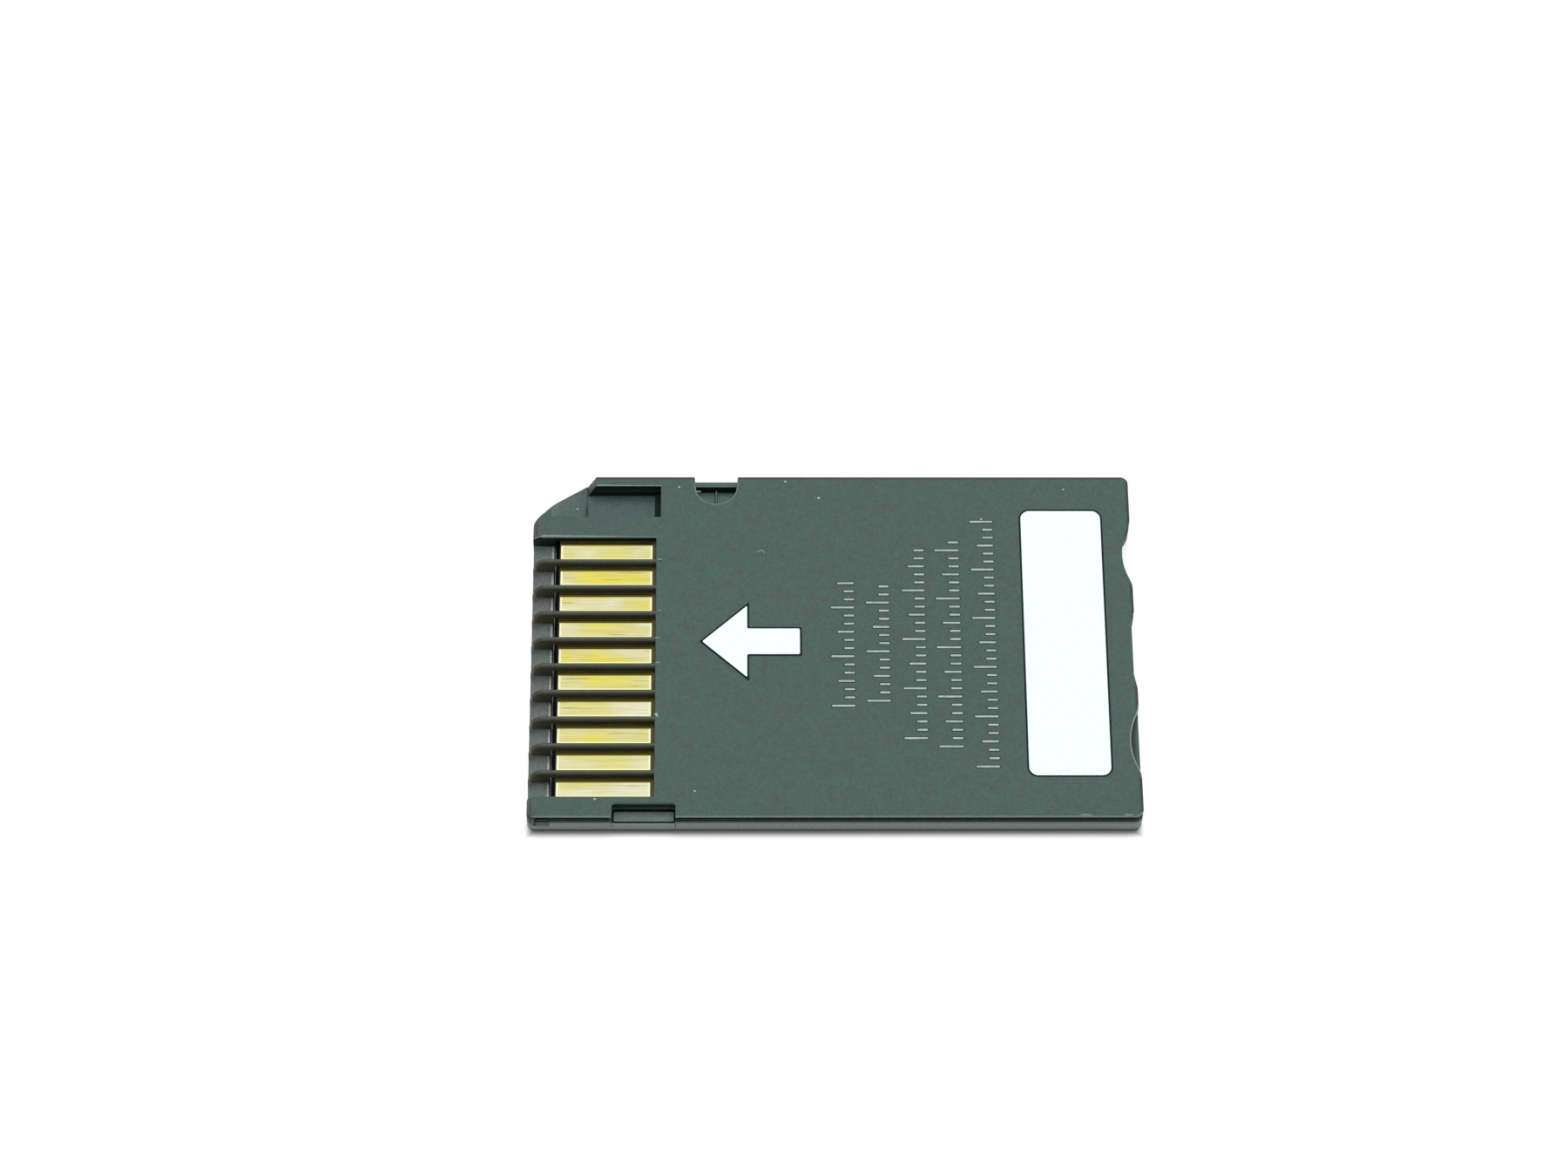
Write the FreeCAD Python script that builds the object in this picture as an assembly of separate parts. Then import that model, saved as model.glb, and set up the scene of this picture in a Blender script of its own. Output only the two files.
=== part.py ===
import FreeCAD, Part
import math
import os

# A flat memory card with ten contacts, lying on its label face with the contact side up.
# X runs from the contact end to the trailing end, Y from the near side to the far side,
# and Z up from the label face. The origin is under the middle of the card.
# All sizes are in millimetres.

# Outline of the card
card_length = 31.0
card_width = 20.0
card_thickness = 1.6
near_corner_radius = 0.45
far_corner_radius = 0.4
face_edge_radius = 0.08          # round along the rim of the contact face
label_edge_radius = 0.15         # round along the rim of the label face
nose_radius = 0.5                # round across the whole contact end
key_chamfer = 2.72               # leg of the 45 degree corner that keys the card
key_corner_radius = 0.3

# Trailing end
scallop_depth = 0.47
scallop_half_width = 2.1
scallop_shoulder_radius = 1.35
near_scallop_from_side = 4.3     # from the near side to the middle of the scallop
far_scallop_from_side = 4.65     # from the far side to the middle of the scallop
scallop_ledge_depth = 0.8        # below the contact face, where the scallops change
scallop_undercut = 0.25          # how much deeper the far scallop is below that; the near one stops there
end_recess_depth = 0.16
end_recess_near_gap = 1.0        # plain end face between the near scallop and the shallow recess
end_recess_far_gap = 1.4
end_recess_far_slope = 0.2
end_recess_near_slope = 0.8
end_recess_radius = 0.1

# Walls of the two shells
side_wall = 0.55
end_wall = 0.5
nose_wall = 1.14                 # the bar of the front shell that carries the lead-in ramps
pocket_wall = 0.3                # wall between an outside pocket and the room inside
front_floor = 0.35
rear_skin = 0.45
rear_rim = 0.10                  # how far the rear shell's rim reaches below its skin
nose_seam_drop = 0.45            # the seam lies this much lower across the nose
groove_lip = 0.10                # thickness of the rear shell's edge over the seam groove
groove_depth = 0.18
groove_from_nose = 0.45
groove_from_key = 0.5
groove_from_pocket = 0.15        # groove stops this far from each side of the near pocket

# Contact comb
contact_count = 10
comb_near_margin = 1.17          # near side of the card to the first slot
comb_far_margin = 3.66           # far side of the card to the last slot
comb_rib = 0.25
rib_crown = 0.08                 # bevel along both top edges of a rib
rib_root = 0.3                   # how far a rib reaches into the shell at its closed end
comb_length = 6.4                # contact end of the card to the closed end of the slots
rib_setback = 0.08
rib_nose_radius = 0.66
ramp_step = 0.03                 # ramps stay this much below the seam across the nose
ramp_flat = 0.62                 # from the inner end of a ramp to where it turns down
ramp_radius = 0.7
ramp_lip = 0.12                  # height left at the foot of a ramp

# Corner guide pocket beside the key chamfer
guide_near_edge = 2.45           # from the far side
guide_rim = 0.55
guide_end = 6.62                 # from the contact end
guide_depth = 1.05
guide_ramp_start = 0.56
guide_ramp_angle = 30.3
guide_ramp_radius = 1.5
guide_ramp_lead = 0.06
guide_foot_radius = 0.1
guide_rim_slope = 0.5            # run of the rim's sloping end
guide_step_length = 0.32         # low step along the trailing wall
guide_step_height = 0.12
guide_shoulder = 0.25            # rear shell beside the ramp

# Lock notch on the far side
notch_from_end = 9.5             # from the contact end
notch_radius = 1.07
notch_centre_inset = 0.58
notch_flare = 0.05
notch_pit_depth = 1.1
notch_wall = 0.32                # front shell left standing behind the pit
notch_rib_width = 0.1
notch_rib_height = 0.22

# Pocket on the near side
side_pocket_start = 4.29         # from the contact end
side_pocket_length = 3.2
side_pocket_width = 0.78
side_pocket_depth = 0.78
side_pocket_radius = 0.15
island_gap = 0.07                # narrow moat round the block that fills the pocket's floor
island_lip = 0.08                # left of the floor outside the moat, along the near side
island_moat_depth = 0.25

# White write-on strip
strip_from_end = 1.5             # trailing end of the card to the strip
strip_width = 4.22
strip_near_margin = 2.32
strip_far_margin = 2.06
strip_radius = 0.5
strip_thickness = 0.05
strip_clearance = 0.04

# Shallow recess for a label on the underside
label_margin = 1.3
label_depth = 0.1
label_radius = 0.8

# Circuit board and its seat in the front shell
board_thickness = 0.3
board_clearance = 0.08
board_front_gap = 0.27           # open gap between the nose bar and the board
board_ledge = 0.5
prop_width = 0.5                 # props under the contacts
prop_places = (2.6, 4.6)         # from the contact end to the middle of each prop
peg_diameter = 0.9
peg_clearance = 0.05
peg_top_gap = 0.05
peg_inset = 1.25                 # from the walls of the room inside

# Contact pads
pad_thickness = 0.05
pad_side_gap = 0.13
pad_front_gap = 0.05
pad_back_gap = 0.19
pad_radius = 0.05

# Parts on the underside of the board
chip_floor_gap = 0.05
part_gap = 0.7
controller_size = 6.0
flash_end_gap = 5.03             # from the memory chip to the far end of the room under the board
flash_width = 12.0
chip_edge = 0.06
chip_dot_radius = 0.3
chip_dot_depth = 0.04
chip_dot_inset = 0.8
passive_length = 1.0
passive_width = 0.5
passive_height = 0.33
passive_cap = 0.22
passive_cap_proud = 0.02
resistor_count = 4
resistor_pitch = 3.0
capacitor_count = 4
capacitor_pitch = 2.4

# Places that follow from the sizes above
x_front = -card_length / 2
x_back = card_length / 2
y_near = -card_width / 2
y_far = card_width / 2
board_top = card_thickness - rear_skin
board_bottom = board_top - board_thickness
seam_z = board_top - rear_rim
nose_seam_z = seam_z - nose_seam_drop
guide_floor_z = card_thickness - guide_depth
room_front = x_front + nose_wall
room_back = x_back - scallop_depth - end_wall
board_front = room_front + board_front_gap
comb_back = x_front + comb_length
guide_back = x_front + guide_end
guide_near = y_far - guide_near_edge
guide_far = y_far - guide_rim
guide_ramp_slope = math.radians(guide_ramp_angle)
guide_ramp_turn = x_front + guide_ramp_start + guide_ramp_radius * math.tan(guide_ramp_slope / 2)
guide_ramp_foot = guide_ramp_turn + guide_depth / math.tan(guide_ramp_slope)
notch_x = x_front + notch_from_end
notch_y = y_far - notch_centre_inset
slot_pitch = (card_width - comb_near_margin - comb_far_margin + comb_rib) / contact_count
slot_width = slot_pitch - comb_rib
beyond = 1.0                     # how far a cutting shape reaches past the card


def box(x0, x1, y0, y1, z0, z1):
    return Part.makeBox(x1 - x0, y1 - y0, z1 - z0, FreeCAD.Vector(x0, y0, z0))


def in_plan(a, b):
    return FreeCAD.Vector(a, b, 0)


def in_elevation(a, b):
    return FreeCAD.Vector(a, 0, b)


def rounded_wire(corners, plane):
    """A closed wire through corners (a, b, radius), with a tangent arc at each corner that has a radius."""
    edges = []
    joints = []
    for index, (a, b, radius) in enumerate(corners):
        here = plane(a, b)
        if radius <= 0:
            joints.append((here, None, here))
            continue
        before = corners[index - 1]
        after = corners[(index + 1) % len(corners)]
        back = (plane(before[0], before[1]) - here).normalize()
        ahead = (plane(after[0], after[1]) - here).normalize()
        half_angle = back.getAngle(ahead) / 2
        reach = radius / math.tan(half_angle)
        bisector = (back + ahead).normalize()
        middle = here + bisector * (radius / math.sin(half_angle) - radius)
        joints.append((here + back * reach, middle, here + ahead * reach))
    for index, (start, middle, end) in enumerate(joints):
        if middle is not None:
            edges.append(Part.Arc(start, middle, end).toShape())
        next_start = joints[(index + 1) % len(joints)][0]
        if end.distanceToPoint(next_start) > 1e-6:
            edges.append(Part.LineSegment(end, next_start).toShape())
    return Part.Wire(edges)


def plan_prism(corners, z0, z1):
    face = Part.Face(rounded_wire(corners, in_plan))
    face.translate(FreeCAD.Vector(0, 0, z0))
    return face.extrude(FreeCAD.Vector(0, 0, z1 - z0))


def side_prism(corners, y0, y1):
    face = Part.Face(rounded_wire(corners, in_elevation))
    face.translate(FreeCAD.Vector(0, y0, 0))
    return face.extrude(FreeCAD.Vector(0, y1 - y0, 0))


def slab(x0, x1, y0, y1, z0, z1, radius):
    return plan_prism([(x0, y0, radius), (x1, y0, radius), (x1, y1, radius), (x0, y1, radius)], z0, z1)


def upright(x, y, radius, z0, z1):
    return Part.makeCylinder(radius, z1 - z0, FreeCAD.Vector(x, y, z0))


def scallop_corners(y, depth):
    """A hollow of two shoulder arcs and one wider bottom arc, tangent to the end face and to each other."""
    slope = 2 * math.atan(depth / scallop_half_width)
    bottom_radius = scallop_half_width / math.sin(slope) - scallop_shoulder_radius
    shoulder = scallop_half_width - scallop_shoulder_radius * math.tan(slope / 2)
    bottom = x_back - depth - bottom_radius * (1 / math.cos(slope) - 1)
    return [
        (x_back, y - shoulder, scallop_shoulder_radius),
        (bottom, y, bottom_radius),
        (x_back, y + shoulder, scallop_shoulder_radius),
    ]


def end_recess_corners():
    inner = x_back - end_recess_depth
    near_edge = y_near + near_scallop_from_side + scallop_half_width + end_recess_near_gap
    far_edge = y_far - far_scallop_from_side - scallop_half_width - end_recess_far_gap
    return [
        (x_back, near_edge, end_recess_radius),
        (inner, near_edge + end_recess_near_slope, end_recess_radius),
        (inner, far_edge - end_recess_far_slope, end_recess_radius),
        (x_back, far_edge, end_recess_radius),
    ]


def card_outline(near_depth, far_depth):
    """Plan of the card, with the depths of the two scallops in its trailing end."""
    corners = [(x_front, y_near, near_corner_radius), (x_back, y_near, near_corner_radius)]
    if near_depth > 0:
        corners += scallop_corners(y_near + near_scallop_from_side, near_depth)
    corners += end_recess_corners()
    corners += scallop_corners(y_far - far_scallop_from_side, far_depth)
    corners += [
        (x_back, y_far, far_corner_radius),
        (x_front + key_chamfer, y_far, key_corner_radius),
        (x_front, y_far - key_chamfer, key_corner_radius),
    ]
    return corners


def edges_at_height(shape, z):
    found = []
    for edge in shape.Edges:
        limits = edge.BoundBox
        if abs(limits.ZMin - z) < 1e-6 and abs(limits.ZMax - z) < 1e-6:
            found.append(edge)
    return found


def nose_round():
    """What the round across the contact end takes off the contact face's edge."""
    x = x_front + nose_radius
    y0 = y_near - beyond
    y1 = y_far + beyond
    z = card_thickness - nose_radius
    block = box(x_front - beyond, x, y0, y1, z, card_thickness + beyond)
    return block.cut(Part.makeCylinder(nose_radius, y1 - y0, FreeCAD.Vector(x, y0, z), FreeCAD.Vector(0, 1, 0)))


def solid_card():
    """The outside of the closed card, before its pockets."""
    ledge_z = card_thickness - scallop_ledge_depth
    lower = plan_prism(card_outline(0, scallop_depth + scallop_undercut), 0, ledge_z)
    lower = lower.makeFillet(label_edge_radius, edges_at_height(lower, 0))
    upper = plan_prism(card_outline(scallop_depth, scallop_depth), ledge_z, card_thickness)
    upper = upper.makeFillet(face_edge_radius, edges_at_height(upper, card_thickness))
    card = lower.fuse(upper).removeSplitter()
    return card.cut(nose_round())


def slot_middle(index):
    """Contact slots are counted from the near side."""
    return y_near + comb_near_margin + slot_width / 2 + index * slot_pitch


def comb_cut():
    """Ten slots over the contacts, each running out over a ramp in the nose."""
    ramp_top = nose_seam_z - ramp_step
    profile = [
        (comb_back, card_thickness + beyond, 0),
        (comb_back, board_top, 0),
        (room_front, board_top, 0),
        (room_front, ramp_top, 0),
        (room_front - ramp_flat, ramp_top, ramp_radius),
        (x_front, ramp_lip, 0),
        (x_front - beyond, ramp_lip, 0),
        (x_front - beyond, card_thickness + beyond, 0),
    ]
    slots = []
    for index in range(contact_count):
        middle = slot_middle(index)
        slots.append(side_prism(profile, middle - slot_width / 2, middle + slot_width / 2))
    return slots


def comb_window_cut():
    """Clears the room over the contacts, where the comb's ribs then go, down to the front shell's nose."""
    y0 = slot_middle(0)
    y1 = slot_middle(contact_count - 1)
    above = card_thickness + beyond
    over_nose = box(x_front - beyond, room_front, y0, y1, nose_seam_z, above)
    return over_nose.fuse(box(room_front, comb_back, y0, y1, board_top, above))


def rib(index):
    """The rib between this slot and the next, with a bevelled crown and a rounded nose."""
    y0 = slot_middle(index) + slot_width / 2
    nose = x_front + rib_setback
    root = comb_back + rib_root
    profile = [
        (nose, nose_seam_z, 0),
        (nose, card_thickness, rib_nose_radius),
        (root, card_thickness, 0),
        (root, board_top, 0),
        (room_front, board_top, 0),
        (room_front, nose_seam_z, 0),
    ]
    bar = side_prism(profile, y0, y0 + comb_rib)
    crown = []
    for edge in bar.Edges:
        limits = edge.BoundBox
        if limits.ZMax > card_thickness - 1e-6 and limits.YLength < 1e-6 and limits.XLength > rib_nose_radius / 2:
            crown.append(edge)
    return bar.makeChamfer(rib_crown, crown)


def guide_pocket_cut():
    """The long pocket in the keyed corner: a rolled ramp, a flat floor and a rim along the side."""
    above = card_thickness + beyond
    profile = [
        (x_front - beyond, above, 0),
        (x_front - beyond, card_thickness + guide_ramp_lead, 0),
        (guide_ramp_turn, card_thickness, guide_ramp_radius),
        (guide_ramp_foot, guide_floor_z, guide_foot_radius),
        (guide_back - guide_step_length, guide_floor_z, 0),
        (guide_back - guide_step_length, guide_floor_z + guide_step_height, 0),
        (guide_back, guide_floor_z + guide_step_height, 0),
        (guide_back, above, 0),
    ]
    pocket = side_prism(profile, guide_near, guide_far)
    rim_profile = [
        (x_front - beyond, above, 0),
        (x_front - beyond, card_thickness + guide_ramp_lead, 0),
        (guide_ramp_turn, card_thickness, guide_ramp_radius),
        (guide_ramp_foot, guide_floor_z, 0),
        (guide_ramp_foot + guide_rim_slope, card_thickness, 0),
        (guide_ramp_foot + guide_rim_slope, above, 0),
    ]
    return [pocket, side_prism(rim_profile, guide_far, y_far + beyond)]


def notch_prism(far_end, z0, z1):
    """The lock notch up to far_end: in plan a half round with slightly flared sides."""
    run = far_end - notch_y
    spread = run * notch_flare / notch_centre_inset
    left = FreeCAD.Vector(notch_x - notch_radius, notch_y, z0)
    right = FreeCAD.Vector(notch_x + notch_radius, notch_y, z0)
    deepest = FreeCAD.Vector(notch_x, notch_y - notch_radius, z0)
    left_end = left + FreeCAD.Vector(-spread, run, 0)
    right_end = right + FreeCAD.Vector(spread, run, 0)
    outline = Part.Wire([
        Part.Arc(left, deepest, right).toShape(),
        Part.LineSegment(right, right_end).toShape(),
        Part.LineSegment(right_end, left_end).toShape(),
        Part.LineSegment(left_end, left).toShape(),
    ])
    return Part.Face(outline).extrude(FreeCAD.Vector(0, 0, z1 - z0))


def lock_notch_cut():
    above = card_thickness + beyond
    pit = notch_prism(y_far - notch_wall, card_thickness - notch_pit_depth, above)
    return [notch_prism(y_far + beyond, seam_z, above), pit]


def side_pocket_cut():
    """The pocket, open to the near side, with a narrow moat sunk round the block on its floor."""
    x0 = x_front + side_pocket_start
    x1 = x0 + side_pocket_length
    y0 = y_near + island_lip
    y1 = y_near + side_pocket_width
    floor = card_thickness - side_pocket_depth
    sunk = floor - island_moat_depth
    pocket = slab(x0, x1, y_near - beyond, y1, floor, card_thickness + beyond, side_pocket_radius)
    block = slab(x0 + island_gap, x1 - island_gap, y0 + island_gap, y1 - island_gap, sunk, floor,
                 side_pocket_radius - island_gap)
    return pocket.fuse(slab(x0, x1, y0, y1, sunk, floor, side_pocket_radius).cut(block))


def seam_groove_cut():
    """The shadow groove over the seam, along both sides and the trailing end."""
    top = card_thickness - groove_lip
    outline = Part.Face(rounded_wire(card_outline(scallop_depth, scallop_depth), in_plan))
    core = outline.makeOffset2D(-groove_depth)
    core.translate(FreeCAD.Vector(0, 0, seam_z))
    core = core.extrude(FreeCAD.Vector(0, 0, top - seam_z))
    around = box(x_front + groove_from_nose, x_back + beyond, y_near - beyond, 0, seam_z, top)
    key_end = x_front + key_chamfer + groove_from_key
    around = around.fuse(box(key_end, x_back + beyond, 0, y_far + beyond, seam_z, top))
    pocket_start = x_front + side_pocket_start - groove_from_pocket
    pocket_end = x_front + side_pocket_start + side_pocket_length + groove_from_pocket
    stop = box(pocket_start, pocket_end, y_near - beyond, 0, seam_z, top)
    return around.cut([core, stop])


def rear_zone():
    """All that lies above the seam: its side of every outside wall belongs to the rear shell."""
    above = card_thickness + beyond
    sides = box(x_front - beyond, x_back + beyond, y_near - beyond, y_far + beyond, seam_z, above)
    nose = box(x_front - beyond, room_front, y_near - beyond, y_far + beyond, nose_seam_z, above)
    ramp = box(x_front - beyond, guide_ramp_foot, guide_near - guide_shoulder, y_far + beyond,
               guide_floor_z, above)
    return sides.fuse([nose, ramp]).removeSplitter()


def pocket_bosses(extra, z0, z1):
    """Walls that stand round the outside pockets, grown by extra."""
    grow = pocket_wall + extra
    guide = box(x_front - beyond, guide_back + grow, guide_near - guide_shoulder - extra, y_far + beyond, z0, z1)
    notch = upright(notch_x, notch_y, notch_radius + grow, z0, z1)
    notch_back = box(notch_x - notch_radius - grow, notch_x + notch_radius + grow, notch_y, y_far + beyond, z0, z1)
    x0 = x_front + side_pocket_start
    side = box(x0 - grow, x0 + side_pocket_length + grow, y_near - beyond, y_near + side_pocket_width + grow, z0, z1)
    return guide.fuse([notch, notch_back, side])


def peg_places():
    x = room_back - peg_inset
    y = card_width / 2 - side_wall - peg_inset
    return [(x, -y), (x, y)]


def board_room():
    """The upper room, which the board fills but for its clearance."""
    room = box(room_front, room_back, y_near + side_wall, y_far - side_wall, board_bottom, board_top)
    return room.cut(pocket_bosses(0, board_bottom, board_top))


def parts_room():
    """The lower room under the board, inside the ledge that carries it."""
    edge = side_wall + board_ledge
    room = box(room_front, room_back - board_ledge, y_near + edge, y_far - edge, front_floor, board_bottom)
    room = room.cut(pocket_bosses(0, front_floor, board_bottom))
    for place in prop_places:
        x = x_front + place
        room = room.cut(box(x - prop_width / 2, x + prop_width / 2, y_near, y_far, front_floor, board_bottom))
    return room


def strip_slab(clearance, z0, z1):
    x1 = x_back - strip_from_end - clearance
    x0 = x_back - strip_from_end - strip_width + clearance
    y0 = y_near + strip_near_margin + clearance
    y1 = y_far - strip_far_margin - clearance
    return slab(x0, x1, y0, y1, z0, z1, strip_radius - clearance)


def label_recess_cut():
    x0 = x_front + label_margin
    x1 = x_back - label_margin
    y0 = y_near + label_margin
    y1 = y_far - label_margin
    leg = key_chamfer - label_margin * (2 - math.sqrt(2))
    corners = [
        (x0, y0, label_radius),
        (x1, y0, label_radius),
        (x1, y1, label_radius),
        (x0 + leg, y1, label_radius),
        (x0, y1 - leg, label_radius),
    ]
    return plan_prism(corners, -beyond, label_depth)


def outside():
    card = solid_card()
    card = card.cut(guide_pocket_cut())
    card = card.cut(comb_cut())
    card = card.cut(comb_window_cut())
    card = card.cut(lock_notch_cut())
    card = card.cut(side_pocket_cut())
    return card.cut(seam_groove_cut())


def rear_shell(card):
    shell = card.common(rear_zone()).cut(board_room())
    shell = shell.cut(strip_slab(0, card_thickness - strip_thickness, card_thickness + beyond))
    return shell.fuse([rib(index) for index in range(contact_count - 1)]).removeSplitter()


def front_shell(card):
    shell = card.cut(rear_zone()).cut([board_room(), parts_room(), label_recess_cut()])
    for x, y in peg_places():
        shell = shell.fuse(upright(x, y, peg_diameter / 2, front_floor, board_top - peg_top_gap))
    floor = card_thickness - notch_pit_depth
    rib = box(notch_x - notch_rib_width / 2, notch_x + notch_rib_width / 2, notch_y - notch_radius,
              y_far - notch_wall, floor, floor + notch_rib_height)
    rib = rib.common(notch_prism(y_far - notch_wall, floor, floor + notch_rib_height))
    return shell.fuse(rib).removeSplitter()


def circuit_board():
    gap = board_clearance
    board = box(board_front, room_back - gap, y_near + side_wall + gap, y_far - side_wall - gap,
                board_bottom, board_top)
    board = board.cut(pocket_bosses(gap, board_bottom, board_top))
    for x, y in peg_places():
        board = board.cut(upright(x, y, peg_diameter / 2 + peg_clearance, board_bottom, board_top))
    return board


def contact_pad(index):
    middle = slot_middle(index)
    half = slot_width / 2 - pad_side_gap
    return slab(board_front + pad_front_gap, comb_back - pad_back_gap, middle - half, middle + half,
                board_top, board_top + pad_thickness, pad_radius)


def chip(x0, length, width):
    """A thin moulded package hanging under the board, with a marking dimple in one corner."""
    low = front_floor + chip_floor_gap
    package = box(x0, x0 + length, -width / 2, width / 2, low, board_bottom)
    package = package.makeChamfer(chip_edge, edges_at_height(package, low))
    return package.cut(upright(x0 + chip_dot_inset, width / 2 - chip_dot_inset, chip_dot_radius,
                               low, low + chip_dot_depth))


def passive(x, y):
    """A small resistor or capacitor lying along Y under the board, with a cap at each end."""
    half = passive_length / 2
    side = passive_width / 2
    low = board_bottom - passive_height
    inner = passive_cap_proud
    body = box(x - side + inner, x + side - inner, y - half + inner, y + half - inner, low + inner, board_bottom)
    caps = [
        box(x - side, x + side, y - half, y - half + passive_cap, low, board_bottom),
        box(x - side, x + side, y + half - passive_cap, y + half, low, board_bottom),
    ]
    return body.fuse(caps)


def row_places(count, pitch):
    return [(index - (count - 1) / 2) * pitch for index in range(count)]


def parts_under_board():
    """Resistors, controller, capacitors and memory chip, one behind the other from the contacts."""
    found = {}
    resistor_x = comb_back + passive_width / 2
    for index, y in enumerate(row_places(resistor_count, resistor_pitch)):
        found[f"resistor_{index + 1}"] = passive(resistor_x, y)
    controller_x = resistor_x + passive_width / 2 + part_gap
    found["controller_chip"] = chip(controller_x, controller_size, controller_size)
    capacitor_x = controller_x + controller_size + part_gap + passive_width / 2
    for index, y in enumerate(row_places(capacitor_count, capacitor_pitch)):
        found[f"capacitor_{index + 1}"] = passive(capacitor_x, y)
    flash_x = capacitor_x + passive_width / 2 + part_gap
    flash_end = room_back - board_ledge - flash_end_gap
    found["flash_chip"] = chip(flash_x, flash_end - flash_x, flash_width)
    return found


def build():
    card = outside()
    nodes = {
        "rear_shell": rear_shell(card),
        "front_shell": front_shell(card),
        "circuit_board": circuit_board(),
        "write_on_strip": strip_slab(strip_clearance, card_thickness - strip_thickness, card_thickness),
    }
    for index in range(contact_count):
        nodes[f"contact_pad_{index + 1:02d}"] = contact_pad(index)
    nodes.update(parts_under_board())
    return nodes


os.makedirs("parts", exist_ok=True)
for name, shape in build().items():
    shape.exportStep(f"parts/{name}.step")
    limits = shape.BoundBox
    print(f"{name}: {len(shape.Solids)} solid, valid {shape.isValid()}, volume {shape.Volume:.3f} mm3, "
          f"Z {limits.ZMin:.3f} to {limits.ZMax:.3f}")
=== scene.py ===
import bpy
import math
from mathutils import Matrix, Vector


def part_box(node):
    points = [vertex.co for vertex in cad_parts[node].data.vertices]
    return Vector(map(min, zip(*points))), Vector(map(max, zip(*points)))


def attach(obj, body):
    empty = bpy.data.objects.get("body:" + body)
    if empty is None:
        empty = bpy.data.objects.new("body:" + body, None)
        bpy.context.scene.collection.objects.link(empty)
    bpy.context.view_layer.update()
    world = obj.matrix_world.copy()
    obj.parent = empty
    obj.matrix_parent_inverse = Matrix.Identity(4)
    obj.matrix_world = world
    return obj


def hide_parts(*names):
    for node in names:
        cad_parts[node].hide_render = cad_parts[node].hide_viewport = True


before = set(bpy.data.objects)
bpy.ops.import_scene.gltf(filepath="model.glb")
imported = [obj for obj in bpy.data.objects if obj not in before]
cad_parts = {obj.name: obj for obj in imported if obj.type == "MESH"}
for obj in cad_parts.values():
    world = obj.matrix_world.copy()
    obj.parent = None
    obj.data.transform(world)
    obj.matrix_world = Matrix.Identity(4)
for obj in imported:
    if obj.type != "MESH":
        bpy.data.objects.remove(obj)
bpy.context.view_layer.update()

# A flat memory card lying on its label face, contact side up, seen from the near side.
mm = 0.001
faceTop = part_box("rear_shell")[1][2]  # height of the contact face


# Helpers for modelling

def deselect():
    if bpy.context.mode != "OBJECT":
        bpy.ops.object.mode_set(mode="OBJECT")
    bpy.ops.object.select_all(action="DESELECT")


def takeUp(piece):
    deselect()
    piece.select_set(True)
    bpy.context.view_layer.objects.active = piece


def settle(piece):
    takeUp(piece)
    bpy.ops.object.transform_apply(location=True, rotation=True, scale=True)


def applyModifiers(piece):
    takeUp(piece)
    for modifier in list(piece.modifiers):
        bpy.ops.object.modifier_apply(modifier=modifier.name)


def join(pieces, name):
    deselect()
    for piece in pieces:
        piece.select_set(True)
    bpy.context.view_layer.objects.active = pieces[0]
    bpy.ops.object.join()
    joined = bpy.context.object
    joined.name = name
    joined.data.name = name
    return joined


def ownCopy(piece, name, move=Vector((0, 0, 0))):
    copy = piece.copy()
    copy.data = piece.data.copy()
    copy.name = name
    copy.data.name = name
    copy.data.transform(Matrix.Translation(move))
    bpy.context.scene.collection.objects.link(copy)
    return copy


def setMaterials(piece, *materials):
    piece.data.materials.clear()
    for material in materials:
        piece.data.materials.append(material)


def smooth(piece, angle=35):
    takeUp(piece)
    bpy.ops.object.shade_smooth_by_angle(angle=math.radians(angle))


def belongs(piece):
    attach(piece, "root")


# Helpers for materials

def newMaterial(name):
    material = bpy.data.materials.new(name)
    material.use_nodes = True
    nodes = material.node_tree.nodes
    shader = nodes["Principled BSDF"]
    place = nodes.new("ShaderNodeTexCoord")
    return material, nodes, material.node_tree.links, shader, place.outputs["Object"]


def stretch(nodes, links, source, scale):
    mapping = nodes.new("ShaderNodeMapping")
    mapping.inputs["Scale"].default_value = scale
    links.new(source, mapping.inputs["Vector"])
    return mapping.outputs["Vector"]


def noise(nodes, links, source, scale, detail, roughness):
    texture = nodes.new("ShaderNodeTexNoise")
    texture.inputs["Scale"].default_value = scale
    texture.inputs["Detail"].default_value = detail
    texture.inputs["Roughness"].default_value = roughness
    links.new(source, texture.inputs["Vector"])
    return texture.outputs["Fac"]


def steadyColour(nodes, colour):
    node = nodes.new("ShaderNodeRGB")
    node.outputs["Color"].default_value = (*colour, 1.0)
    return node.outputs["Color"]


def ramp(nodes, links, source, stops):
    node = nodes.new("ShaderNodeValToRGB")
    elements = node.color_ramp.elements
    while len(elements) < len(stops):
        elements.new(0.5)
    for element, (position, colour) in zip(elements, stops):
        element.position = position
        element.color = (*colour, 1.0)
    links.new(source, node.inputs["Fac"])
    return node.outputs["Color"]


def mixColour(nodes, links, factor, first, second, blend="MIX"):
    node = nodes.new("ShaderNodeMix")
    node.data_type = "RGBA"
    node.blend_type = blend
    if isinstance(factor, float):
        node.inputs["Factor"].default_value = factor
    else:
        links.new(factor, node.inputs["Factor"])
    links.new(first, node.inputs["A"])
    links.new(second, node.inputs["B"])
    return node.outputs["Result"]


def spread(nodes, links, source, low, high, start=0.3, end=0.7):
    node = nodes.new("ShaderNodeMapRange")
    node.inputs["From Min"].default_value = start
    node.inputs["From Max"].default_value = end
    node.inputs["To Min"].default_value = low
    node.inputs["To Max"].default_value = high
    links.new(source, node.inputs["Value"])
    return node.outputs["Result"]


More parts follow.
